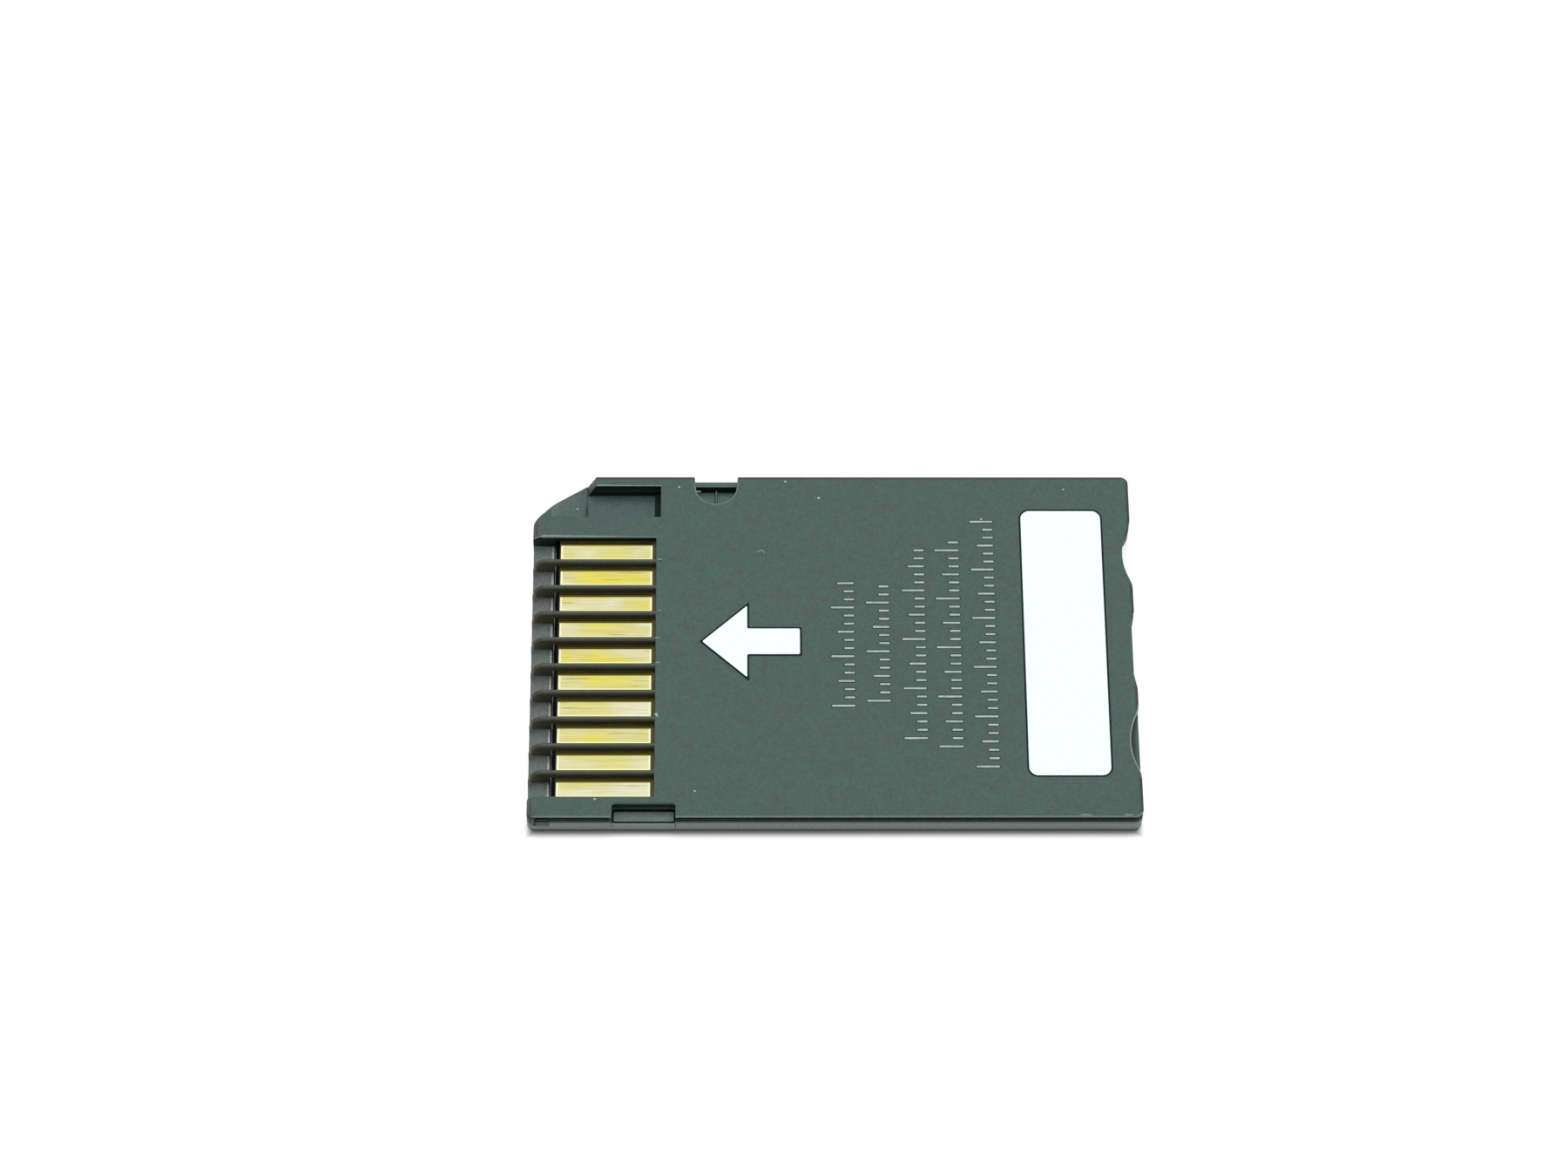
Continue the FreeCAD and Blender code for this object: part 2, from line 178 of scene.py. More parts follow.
def calculate(nodes, links, operation, first, second):
    node = nodes.new("ShaderNodeMath")
    node.operation = operation
    for socket, value in zip(node.inputs, (first, second)):
        if isinstance(value, float):
            socket.default_value = value
        else:
            links.new(value, socket)
    return node.outputs["Value"]


def bump(nodes, links, height, distance, strength):
    node = nodes.new("ShaderNodeBump")
    node.inputs["Distance"].default_value = distance
    node.inputs["Strength"].default_value = strength
    links.new(height, node.inputs["Height"])
    return node.outputs["Normal"]


# Plastics of the two shells

toneSet = {
    "rearPlastic": (0.0570, 0.0970, 0.0835),
    # painted highlight: lighter rear plastic for edges that catch the light
    "rearPaintedLight": (0.180, 0.245, 0.220),
    # painted glint: pale rear plastic for edges that catch the light
    "rearGlint": (0.340, 0.390, 0.370),
    # painted light: lighter rear plastic for the guide pocket's ramp
    "rearRampPaintedLight": (0.094, 0.138, 0.123),
    # painted shade: near-black rear plastic for walls in recesses and gaps
    "rearPaintedShade": (0.008, 0.019, 0.015),
    # painted shade: darker plastic for the rounded rims and outer sides
    "rimPaintedShade": (0.040, 0.046, 0.043),
    # painted shade and painted reflection of the gold: brownish dark crowns of the ribs
    "ribCrownPaintedShade": (0.052, 0.051, 0.036),
    # painted highlight: the lit top line of each rib
    "ribPaintedHighlight": (0.085, 0.088, 0.072),
    # painted shade and painted reflection of the gold: olive sides of the ribs
    "ribSidePaintedShade": (0.046, 0.045, 0.018),
    # painted light: much lighter plastic for the near side, as lit from the floor
    "sideBandPaintedLightAndShade": (0.270, 0.335, 0.305),
    # painted shadow: near-black foot of the near side, where it meets the floor
    "sideFootPaintedShadow": (0.010, 0.018, 0.015),
    "frontPlastic": (0.072, 0.112, 0.106),
    # painted light: lighter front plastic for the lock notch's floor
    "frontPitPaintedLight": (0.092, 0.148, 0.123),
    # painted light: lighter front plastic for the side pocket's floor and edges
    "frontPaintedLight": (0.120, 0.168, 0.148),
    # painted shade: near-black front plastic for walls in recesses
    "frontPaintedShade": (0.007, 0.021, 0.013),
    # front plastic of the scallop's ledge, carrying a painted shadow towards its inner side
    "frontLedgePaintedShadow": (0.072, 0.112, 0.106),
    # grey of the nose blocks, lighter than the front plastic: painted light to offset the shade on the
    # nose ramps
    "noseGrey": (0.137, 0.166, 0.158),
    # painted highlight on the inner edge of the nose
    "nosePaintedHighlight": (0.520, 0.535, 0.530),
    # painted shade: near-black for the inside of the card seen through the gaps
    "inside": (0.004, 0.006, 0.006),
}
plasticSet = {
    "patch": 0.11,      # how much the clouds change the colour
    "grain": 0.29,      # how much the fine grain does
    "patchNoise": (1300.0, 6.0, 0.7),    # scale, detail and roughness
    "grainNoise": (6500.0, 3.0, 0.65),
    "stops": (0.35, 0.65),
    "grainDepth": 0.006 * mm,
    "grainStrength": 0.5,
    "roughness": (0.48, 0.62),
    # the painted shade tones, which are also given less shine
    "dull": ("rearPaintedShade", "frontPaintedShade", "inside"),
    "dullShine": 0.12,
    "shadeRims": {           # painted shade along edges: axis, where the shade starts and where it is full, in mm
        # painted dark outline along the far rim and both ends
        "rearPlastic": (("Y", 9.80, 9.90), ("X", -15.36, -15.43), ("X", 15.31, 15.42)),
        # painted shadow at the foot of the near side and painted shade under the seam groove
        "sideBandPaintedLightAndShade": (("Z", 0.36, 0.22), ("Z", 0.80, 1.04)),
        # painted shadow on the scallop's ledge, darkest at its inner side
        "frontLedgePaintedShadow": (("X", 15.40, 15.24),),
    },
    # colour that the painted rim shade multiplies in
    "rimShadeTone": (0.32, 0.27, 0.29),
}


# Painted shade: a darkening mask along the given edges
def paintedRimShade(nodes, links, place, shadeRims):
    parts = nodes.new("ShaderNodeSeparateXYZ")
    links.new(place, parts.inputs["Vector"])
    shade = None
    for axis, start, full in shadeRims:
        near = spread(nodes, links, parts.outputs[axis], 0.0, 1.0, start * mm, full * mm)
        shade = near if shade is None else calculate(nodes, links, "MAXIMUM", shade, near)
    return ramp(nodes, links, shade, [(0.0, (1.0, 1.0, 1.0)), (1.0, plasticSet["rimShadeTone"])])


def plastic(name):
    material, nodes, links, shader, place = newMaterial(name)
    tone = toneSet[name]
    first, last = plasticSet["stops"]
    patches = noise(nodes, links, place, *plasticSet["patchNoise"])
    grain = noise(nodes, links, place, *plasticSet["grainNoise"])
    more = 1 + plasticSet["patch"]
    less = 1 - plasticSet["patch"]
    greener = (tone[0] * less, tone[1] * more, tone[2])
    greyer = (tone[0] * more, tone[1] * less, tone[2])
    base = ramp(nodes, links, patches, [(first, greener), (last, greyer)])
    dim = 1 - plasticSet["grain"]
    speckle = ramp(nodes, links, grain, [(first, (dim, dim, dim)), (last, (1.0, 1.0, 1.0))])
    colour = mixColour(nodes, links, 1.0, base, speckle, "MULTIPLY")
    # painted shade along this tone's edges
    if name in plasticSet["shadeRims"]:
        shade = paintedRimShade(nodes, links, place, plasticSet["shadeRims"][name])
        colour = mixColour(nodes, links, 1.0, colour, shade, "MULTIPLY")
    links.new(colour, shader.inputs["Base Color"])
    links.new(spread(nodes, links, grain, *plasticSet["roughness"]), shader.inputs["Roughness"])
    relief = bump(nodes, links, grain, plasticSet["grainDepth"], plasticSet["grainStrength"])
    links.new(relief, shader.inputs["Normal"])
    if name in plasticSet["dull"]:
        shader.inputs["Specular IOR Level"].default_value = plasticSet["dullShine"]
    return material


plastics = {name: plastic(name) for name in toneSet}


# Print, marks, dust, board and the sealed parts

finishSet = {           # dark and light tone, scale of the spots, roughness, depth in mm and shine
    "whitePrint": ((0.80, 0.89, 0.91), (0.84, 0.92, 0.94), 3000.0, (0.5, 0.65), 0.002, 0.5),
    "paleMark": ((0.30, 0.37, 0.34), (0.42, 0.50, 0.47), 2600.0, (0.6, 0.8), 0.003, 0.5),
    # painted shade: the dark line round the print and the write-on strip
    "paintedShadeLine": ((0.006, 0.012, 0.010), (0.012, 0.020, 0.018), 3000.0, (0.6, 0.8), 0.002, 0.1),
    # dark olive board, painted as the shade of the gold where it shows between the pads
    "boardPaintedShade": ((0.040, 0.036, 0.008), (0.060, 0.054, 0.012), 1500.0, (0.3, 0.45), 0.004, 0.5),
    "chipEpoxy": ((0.015, 0.015, 0.016), (0.028, 0.028, 0.030), 4000.0, (0.5, 0.7), 0.006, 0.5),
    "resistorGlaze": ((0.03, 0.03, 0.035), (0.06, 0.06, 0.065), 3000.0, (0.3, 0.5), 0.004, 0.5),
    "capacitorCeramic": ((0.26, 0.17, 0.10), (0.34, 0.23, 0.14), 3000.0, (0.4, 0.6), 0.004, 0.5),
    "dust": ((0.22, 0.28, 0.26), (0.50, 0.56, 0.54), 9000.0, (0.8, 0.95), 0.002, 0.5),
}
nodeFinish = {          # finish of each node that stays as the CAD made it, by how its name starts
    "circuit_board": "boardPaintedShade",
    "controller_chip": "chipEpoxy",
    "flash_chip": "chipEpoxy",
    "write_on_strip": "whitePrint",
    "resistor": "resistorGlaze",
    "capacitor": "capacitorCeramic",
}


def plain(name):
    dark, light, scale, roughness, depth, shine = finishSet[name]
    material, nodes, links, shader, place = newMaterial(name)
    spots = noise(nodes, links, place, scale, 4.0, 0.6)
    links.new(ramp(nodes, links, spots, [(0.35, dark), (0.65, light)]), shader.inputs["Base Color"])
    links.new(spread(nodes, links, spots, *roughness), shader.inputs["Roughness"])
    links.new(bump(nodes, links, spots, depth * mm, 0.4), shader.inputs["Normal"])
    shader.inputs["Specular IOR Level"].default_value = shine
    return material


finishes = {name: plain(name) for name in finishSet}
for nodeName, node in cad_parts.items():
    for start, finish in nodeFinish.items():
        if nodeName.startswith(start):
            setMaterials(node, finishes[finish])
print("materials made")


# Shells: the solids' own shapes with their sharp edges rounded

shellSet = {
    "edge": 0.03 * mm,           # how wide every sharp edge is rounded
    "angle": math.radians(40),   # and what counts as sharp
}
wideEdges = {                    # box round each edge that is rounded wider, in mm, and the width
    "rear_shell": (
        (Vector((-15.6, 6.30, 1.58)), Vector((-9.0, 6.38, 1.61)), 0.11),    # near edge of the far land
        (Vector((-11.2, -9.26, 1.58)), Vector((-8.0, -9.18, 1.61)), 0.12),  # far edge of the side pocket
        (Vector((-12.6, 9.42, 1.58)), Vector((-8.8, 9.48, 1.61)), 0.06),    # rim of the guide pocket
        (Vector((-15.6, 7.51, 1.58)), Vector((-8.8, 7.59, 1.61)), 0.05),    # far edge of the far land
        (Vector((-7.3, 8.2, 1.58)), Vector((-4.7, 9.6, 1.61)), 0.06),       # rim of the lock notch
    ),
    "front_shell": (
        (Vector((-14.40, -9.0, 0.50)), Vector((-14.32, 6.5, 0.70)), 0.16),  # inner edge of the nose
    ),
}
places = {                       # limits along X or Y, in mm
    "combNear": -8.95,
    "combFar": 6.45,
    "combEnd": -9.05,
    "firstRib": -7.8,
    "lastRib": 5.3,
    "noseStart": -15.47,
    "noseEnd": -14.31,
    "guideNear": 7.5,
    "guideFar": 9.5,
    "guideEnd": -8.8,
    "guideStep": -9.21,          # past it the end of the guide pocket is painted in shade
    "rampFoot": -12.3,
    "pocketFar": -9.15,
    "pocketStart": -11.3,
    "pocketEnd": -7.9,
    "notch": Vector((-6.0, 9.42)),
    "notchReach": 1.2,
    "scallopStart": 14.8,
    "scallopNear": -7.9,
    "scallopFar": -3.5,
    "sideNear": -9.9,
    "band": 0.2,                 # how far in the near side's top edge counts as the side
    "skin": 0.03,                # how far out the side pocket's faces reach past sideNear
}
levels = {                       # heights at which a shell's tone changes, in mm
    "edges": 1.5,                # above it are the rounded edges of the contact face
    "scallopRim": 1.55,
    "farRim": 1.45,
    "pocketRim": 1.4,
    "seam": 1.0,
    "pocketFloor": 0.8,
    "pocketStep": 0.7,
    "pocketFoot": 0.4,
    "scallopLedge": 0.7,
    "noseFoot": 0.14,
    "sideFootPaintedShadow": 0.13,
}
lean = {                         # how far a face's normal has to point along an axis
    "level": 0.97,
    "flat": 0.9,
    "steep": 0.75,
    "upright": 0.7,
    "half": 0.5,
    "some": 0.3,
    "slight": 0.2,
}


def roundEdges(piece, width):
    bevel = piece.modifiers.new("softEdges", "BEVEL")
    bevel.width = width
    bevel.segments = 2
    bevel.limit_method = "ANGLE"
    bevel.angle_limit = shellSet["angle"]
    bevel.use_clamp_overlap = False
    bevel.material = 1
    bevel.miter_outer = "MITER_ARC"
    applyModifiers(piece)


def roundChosen(piece, low, high, width):
    takeUp(piece)
    bpy.ops.object.mode_set(mode="EDIT")
    bpy.ops.mesh.select_mode(type="EDGE")
    bpy.ops.mesh.select_all(action="DESELECT")
    bpy.ops.object.mode_set(mode="OBJECT")
    inside = []
    for vertex in piece.data.vertices:
        spot = vertex.co / mm
        inside.append(all(low[axis] < spot[axis] < high[axis] for axis in range(3)))
    for edge in piece.data.edges:
        edge.select = all(inside[index] for index in edge.vertices)
    bpy.ops.object.mode_set(mode="EDIT")
    bpy.ops.mesh.bevel(offset=width * mm, segments=2, material=1, clamp_overlap=False)
    bpy.ops.object.mode_set(mode="OBJECT")


def evenShading(piece):
    smooth(piece)
    weighted = piece.modifiers.new("evenShading", "WEIGHTED_NORMAL")
    weighted.keep_sharp = True
    weighted.weight = 100
    applyModifiers(piece)


def cleanCopy(nodeName, pieceName, *materials):
    piece = ownCopy(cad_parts[nodeName], pieceName)
    setMaterials(piece, *materials)
    takeUp(piece)
    bpy.ops.object.mode_set(mode="EDIT")
    bpy.ops.mesh.select_all(action="SELECT")
    bpy.ops.mesh.remove_doubles(threshold=0.001 * mm)
    bpy.ops.mesh.dissolve_limited(angle_limit=math.radians(0.5))
    bpy.ops.object.mode_set(mode="OBJECT")
    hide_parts(nodeName)
    return piece


def inComb(spot):
    return places["combNear"] < spot.y < places["combFar"] and spot.x < places["combEnd"]


def inGuide(spot):
    return places["guideNear"] < spot.y < places["guideFar"] and spot.x < places["guideEnd"]


def inPocket(spot):
    return spot.y < places["pocketFar"] and places["pocketStart"] < spot.x < places["pocketEnd"]


def inNotch(spot):
    offset = Vector((spot.x, spot.y)) - places["notch"]
    return offset.length < places["notchReach"] or (abs(offset.x) < places["notchReach"] and offset.y > 0)


def inScallop(spot):
    return places["scallopNear"] < spot.y < places["scallopFar"] and spot.x > places["scallopStart"]


def onStrip(spot):
    low, high = [Vector(corner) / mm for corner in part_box("write_on_strip")]
    margin = 0.08
    above = 0.001
    return (low.x - margin < spot.x < high.x + margin and low.y - margin < spot.y < high.y + margin
            and low.z - above < spot.z < high.z - above)


def onRib(spot):
    return inComb(spot) and places["firstRib"] < spot.y < places["lastRib"]


# Tone of each rear shell face: all but the plain rear plastic are painted light or painted shade
def rearName(spot, normal, bevelled):
    top = normal.z > lean["level"]
    edge = spot.z > levels["edges"]
    # painted shade in the write-on strip's recess
    if onStrip(spot):
        return "rearPaintedShade"
    # ribs: painted shade and reflection on sides and crown, painted highlight on the top line
    if onRib(spot):
        if spot.z < levels["edges"]:
            return "ribSidePaintedShade"
        return "ribPaintedHighlight" if top else "ribCrownPaintedShade"
    if top:
        return "rearPlastic"
    if inPocket(spot) and spot.z > levels["pocketRim"] and normal.z > lean["slight"]:
        return "rearPlastic"
    # painted highlight on the lock notch's rounded rim
    if inNotch(spot) and bevelled and normal.z > lean["slight"] and edge:
        return "rearPaintedLight"
    # scallop: painted glint on its rim, painted shade on its wall
    if inScallop(spot) and normal.x > lean["slight"]:
        return "rearGlint" if spot.z > levels["scallopRim"] else "rearPaintedShade"
    # guide pocket's ramp: painted glint on lit edges, painted light on the ramp itself
    if inGuide(spot) and spot.x < places["rampFoot"]:
        if bevelled and normal.y > lean["slight"] and edge:
            return "rearGlint"
        if abs(normal.y) < lean["half"]:
            return "rearGlint" if normal.x > lean["steep"] else "rearRampPaintedLight"
    # recesses: painted shade on the walls, painted glint on edges facing the near side
    if inComb(spot) or inGuide(spot) or inPocket(spot) or inNotch(spot):
        if spot.z < levels["edges"] and normal.z < lean["some"]:
            return "rearPaintedShade"
        return "rearGlint" if bevelled and normal.y < -lean["slight"] else "rearPlastic"
    # near side's top edge: painted highlight on the lip, painted shade in the groove below
    if spot.y < places["sideNear"] + places["band"] and spot.z > levels["seam"]:
        return "rearPaintedLight" if edge else "rearPaintedShade"
    # painted shade on the rims and outer sides
    if spot.z > levels["farRim"] and (normal.y > lean["slight"] or abs(normal.x) > lean["half"]):
        return "rimPaintedShade"
    return "rearPlastic"


# Nose: painted shade past its inner end, painted highlight on its inner edge, a lightened grey on its top
def noseName(spot, normal, bevelled):
    if spot.x > places["noseEnd"] or (bevelled and normal.x > lean["upright"]):
        return "inside"
    return "nosePaintedHighlight" if bevelled and normal.x > lean["slight"] else "noseGrey"


# Tone of each front shell face: all but the plain front plastic are painted light or painted shade
def frontName(spot, normal, bevelled):
    flat = normal.z > lean["flat"]
    if inComb(spot) and spot.z > levels["noseFoot"] and spot.x > places["noseStart"]:
        return noseName(spot, normal, bevelled)
    # scallop: ledge keeps the front plastic with a painted shadow, walls painted shade
    if inScallop(spot) and spot.z > levels["scallopLedge"]:
        return "frontLedgePaintedShadow" if flat else "frontPaintedShade"
    # side pocket: painted light on its floor and edges, painted shade on its walls
    if inPocket(spot) and spot.z > levels["pocketFoot"] and spot.y > places["sideNear"] - places["skin"]:
        if spot.z > levels["pocketFloor"] and flat:
            return "frontPaintedLight"
        return "frontPaintedLight" if bevelled and spot.z > levels["pocketStep"] else "frontPaintedShade"
    # lock notch: painted light on its floor, painted shade on its walls
    if inNotch(spot):
        return "frontPitPaintedLight" if normal.z > lean["half"] else "frontPaintedShade"
    # guide pocket: painted shade past the step of its floor
    if inGuide(spot):
        if spot.x < places["rampFoot"]:
            return "frontPlastic"
        return "frontPlastic" if normal.z > lean["half"] and spot.x < places["guideStep"] else "frontPaintedShade"
    # near side: painted light, with a painted shadow at its foot
    if normal.y < -lean["some"] and spot.y < places["pocketFar"]:
        return "sideFootPaintedShadow" if spot.z < levels["sideFootPaintedShadow"] else "sideBandPaintedLightAndShade"
    # painted shade on the rims and outer sides
    return "frontPlastic" if flat or normal.z < -lean["flat"] else "rimPaintedShade"


def paintShell(piece, names, chooseName):
    for polygon in piece.data.polygons:
        name = chooseName(polygon.center / mm, polygon.normal, polygon.material_index == 1)
        polygon.material_index = names.index(name)


def makeShell(nodeName, pieceName, names, chooseName):
    piece = cleanCopy(nodeName, pieceName, *[plastics[name] for name in names])
    for low, high, width in wideEdges[nodeName]:
        roundChosen(piece, low, high, width)
    roundEdges(piece, shellSet["edge"])
    paintShell(piece, names, chooseName)
    evenShading(piece)
    belongs(piece)


rearNames = ["rearPlastic", "rearPaintedLight", "rearGlint", "rearRampPaintedLight", "rearPaintedShade", "rimPaintedShade", "ribCrownPaintedShade",
             "ribPaintedHighlight", "ribSidePaintedShade"]
frontNames = ["frontPlastic", "frontPitPaintedLight", "frontPaintedLight", "frontPaintedShade", "frontLedgePaintedShadow", "rimPaintedShade", "sideBandPaintedLightAndShade",
              "sideFootPaintedShadow", "noseGrey", "nosePaintedHighlight", "inside"]
makeShell("rear_shell", "rearShellMoulding", rearNames, rearName)
makeShell("front_shell", "frontShellMoulding", frontNames, frontName)
print("shells dressed")


# Contacts: gold with a painted highlight along three edges and a painted shadow along the far edge

padSet = {
    "edgeHighlight": 0.12 * mm,         # width of the painted highlight along three edges
    "shade": 0.20 * mm,          # width of the painted shadow and reflection of the rib along the far edge
    "edge": 0.012 * mm,
    "white": (0.84, 0.82, 0.60),
    "mid": (0.77, 0.73, 0.33),
    "yellow": (0.83, 0.76, 0.15),
    # colour of the painted highlight along the pad's edges
    "edgeHighlightTone": (0.98, 0.97, 0.62),
    # colour of the painted shadow and reflection of the rib
    "ribShadowTone": (0.085, 0.068, 0.004),
    "streakScale": (500, 12000, 500),      # fine across the pad, so that the lines run along it
    "scratchScale": (420, 15000, 420),
    "cloudScale": (420, 900, 420),
    "middle": -12.1 * mm,        # where along X the yellow is strongest
    "reach": 2.6 * mm,
    "fade": 0.24,                # how much paler the pad is at that reach
    "roughness": (0.05, 0.10),
    "count": 10,
    "paleReach": (-8.3 * mm, -6.4 * mm),   # the nearest pads are paler
    "palePull": 0.16,
}


# Masks of each pad's painted highlight along three edges and painted shadow along the far edge
def padEdges(nodes, links, along, across):
    low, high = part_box("contact_pad_01")
    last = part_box(f"contact_pad_{padSet['count']:02d}")
    pitch = (last[0][1] - low[1]) / (padSet["count"] - 1)
    fromFirst = calculate(nodes, links, "SUBTRACT", across, low[1] - padSet["edgeHighlight"])
    step = calculate(nodes, links, "MODULO", fromFirst, pitch)
    fromNear = calculate(nodes, links, "SUBTRACT", step, padSet["edgeHighlight"])
    fromFar = calculate(nodes, links, "SUBTRACT", high[1] - low[1], fromNear)
    fromLeft = calculate(nodes, links, "SUBTRACT", along, low[0])
    fromRight = calculate(nodes, links, "SUBTRACT", high[0], along)
    ends = calculate(nodes, links, "MINIMUM", fromLeft, fromRight)
    nearest = calculate(nodes, links, "MINIMUM", ends, fromNear)
    edgeHighlight = spread(nodes, links, nearest, 1.0, 0.0, padSet["edgeHighlight"] * 0.7, padSet["edgeHighlight"] * 1.1)
    shade = spread(nodes, links, fromFar, 1.0, 0.0, padSet["shade"] * 0.75, padSet["shade"])
    return edgeHighlight, shade


def padWarmth(nodes, links, place, along, across):
    clouds = noise(nodes, links, stretch(nodes, links, place, padSet["cloudScale"]), 1.0, 1.0, 0.4)
    fromMiddle = calculate(nodes, links, "SUBTRACT", along, padSet["middle"])
    offset = calculate(nodes, links, "ABSOLUTE", fromMiddle, 0.0)
    reach = calculate(nodes, links, "DIVIDE", offset, padSet["reach"])
    fade = calculate(nodes, links, "MULTIPLY", reach, padSet["fade"])
    pull = spread(nodes, links, across, padSet["palePull"], 0.0, *padSet["paleReach"])
    warmth = calculate(nodes, links, "SUBTRACT", clouds, fade)
    return calculate(nodes, links, "SUBTRACT", warmth, pull)


def gold(name):
    material, nodes, links, shader, place = newMaterial(name)
    parts = nodes.new("ShaderNodeSeparateXYZ")
    links.new(place, parts.inputs["Vector"])
    along = parts.outputs["X"]
    across = parts.outputs["Y"]
    streaks = noise(nodes, links, stretch(nodes, links, place, padSet["streakScale"]), 1.0, 3.0, 0.55)
    scratches = noise(nodes, links, stretch(nodes, links, place, padSet["scratchScale"]), 1.0, 1.0, 0.5)
    warmth = padWarmth(nodes, links, place, along, across)
    tones = [(0.16, padSet["white"]), (0.36, padSet["mid"]), (0.58, padSet["yellow"])]
    base = ramp(nodes, links, warmth, tones)
    shine = ramp(nodes, links, streaks, [(0.30, (0.88, 0.86, 0.74)), (0.62, (1.0, 1.0, 1.0))])
    lines = ramp(nodes, links, scratches, [(0.27, (0.66, 0.60, 0.42)), (0.34, (1.0, 1.0, 1.0))])
    wiped = mixColour(nodes, links, 1.0, base, shine, "MULTIPLY")
    worn = mixColour(nodes, links, 1.0, wiped, lines, "MULTIPLY")
    # painted highlight along three edges, painted shadow and reflection of the rib along the far edge
    edgeHighlight, shade = padEdges(nodes, links, along, across)
    highlighted = mixColour(nodes, links, edgeHighlight, worn, steadyColour(nodes, padSet["edgeHighlightTone"]))
    shaded = mixColour(nodes, links, shade, highlighted, steadyColour(nodes, padSet["ribShadowTone"]))
    links.new(shaded, shader.inputs["Base Color"])
    shader.inputs["Metallic"].default_value = 1.0
    links.new(spread(nodes, links, streaks, *padSet["roughness"]), shader.inputs["Roughness"])
    return material


contactGold = gold("contactGold")


def makePad(nodeName):
    piece = cleanCopy(nodeName, nodeName + ".plated", contactGold, contactGold)
    roundEdges(piece, padSet["edge"])
    evenShading(piece)
    belongs(piece)


for nodeName in sorted(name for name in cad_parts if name.startswith("contact_pad")):
    makePad(nodeName)
print("contacts plated")


# White arrow and pale tick rows on the contact face, each with a fine line of painted shade round it

printSet = {
    "height": 0.012 * mm,
    "sunk": 0.010 * mm,
    "halo": 0.10 * mm,           # line of painted shade left round the print
    "thinHalo": 0.04 * mm,
    "stripCorner": 0.46 * mm,
    "haloHeight": 0.004 * mm,
    "corner": 0.08 * mm,
    "edge": 0.003 * mm,
}
arrowSet = {
    "tip": Vector((-6.70, 0.10, 0)) * mm,
    "headLength": 2.3 * mm,
    "headHalf": 2.1 * mm,
    "shaftHalf": 0.75 * mm,
    "length": 5.0 * mm,
}
tickSet = {
    "rows": (                    # nearest end, farthest end and both sides of each row, in mm
        (-3.7, 3.6, -0.10, 1.10),
        (-3.4, 3.4, 1.70, 2.90),
        (-5.6, 5.6, 3.55, 4.75),
        (-6.1, 6.1, 5.30, 6.55),
        (-7.2, 7.3, 7.15, 8.35),
    ),
    "stroke": 0.115 * mm,
    "pitch": 0.48,
    "lengths": (1.0, 0.45, 0.45, 0.72, 0.45, 0.45),
    "roundness": 0.42,           # corner of a tick, as a share of its width
}


def outline(name, points):
    deselect()
    bpy.ops.mesh.primitive_plane_add(size=mm, location=points[0])
    piece = bpy.context.object
    piece.name = name
    bpy.ops.object.mode_set(mode="EDIT")
    bpy.ops.mesh.select_mode(type="VERT")
    bpy.ops.mesh.merge(type="CENTER")
    for before, after in zip(points, points[1:]):
        bpy.ops.mesh.extrude_vertices_move(TRANSFORM_OT_translate={"value": after - before})
    bpy.ops.mesh.select_all(action="SELECT")
    bpy.ops.mesh.edge_face_add()
    bpy.ops.mesh.normals_make_consistent(inside=False)
    bpy.ops.object.mode_set(mode="OBJECT")
    settle(piece)
    return piece


def thicken(piece, top):
    takeUp(piece)
    piece.data.transform(Matrix.Translation((0, 0, top)))
    solidify = piece.modifiers.new("thickness", "SOLIDIFY")
    solidify.thickness = top - (faceTop - printSet["sunk"])
    solidify.offset = -1.0
    bevel = piece.modifiers.new("softEdges", "BEVEL")
    bevel.width = printSet["edge"]
    bevel.segments = 1
    applyModifiers(piece)


def grown(points, amount):
    corners = []
    for index, here in enumerate(points):
        before = (here - points[index - 1]).normalized()
        after = (points[(index + 1) % len(points)] - here).normalized()
        turn = before.cross(after).z
        if abs(turn) < 0.01:
            corners.append(here)
            continue
        corners.append(here + (before - after) * (amount / turn))
    return corners


def arrowPoints():
    tip = arrowSet["tip"]
    neck = tip.x + arrowSet["headLength"]
    end = tip.x + arrowSet["length"]
    head = arrowSet["headHalf"]
    shaft = arrowSet["shaftHalf"]
    return [
        tip.copy(),
        Vector((neck, tip.y - head, 0)),
        Vector((neck, tip.y - shaft, 0)),
        Vector((end, tip.y - shaft, 0)),
        Vector((end, tip.y + shaft, 0)),
        Vector((neck, tip.y + shaft, 0)),
        Vector((neck, tip.y + head, 0)),
    ]


def softCorners(piece, radius):
    takeUp(piece)
    bpy.ops.object.mode_set(mode="EDIT")
    bpy.ops.mesh.select_all(action="SELECT")
    bpy.ops.mesh.bevel(offset=radius, segments=3, affect="VERTICES")
    bpy.ops.object.mode_set(mode="OBJECT")


def makeArrow():
    for name, extra, height, material in (
        ("arrowPrint", 0.0, printSet["height"], finishes["whitePrint"]),
        ("arrowHalo", printSet["halo"], printSet["haloHeight"], finishes["paintedShadeLine"]),
    ):
        piece = outline(name, grown(arrowPoints(), extra))
        softCorners(piece, printSet["corner"])
        thicken(piece, faceTop + height)
        setMaterials(piece, material)
        belongs(piece)


def makeStroke(name, length, width):
    deselect()
    bpy.ops.mesh.primitive_plane_add(size=1.0)
    piece = bpy.context.object
    piece.name = name
    bpy.ops.object.mode_set(mode="EDIT")
    bpy.ops.transform.resize(value=(length, width, 1.0))
    bpy.ops.mesh.bevel(offset=width * tickSet["roundness"], segments=3, affect="VERTICES")
    bpy.ops.object.mode_set(mode="OBJECT")
    return piece


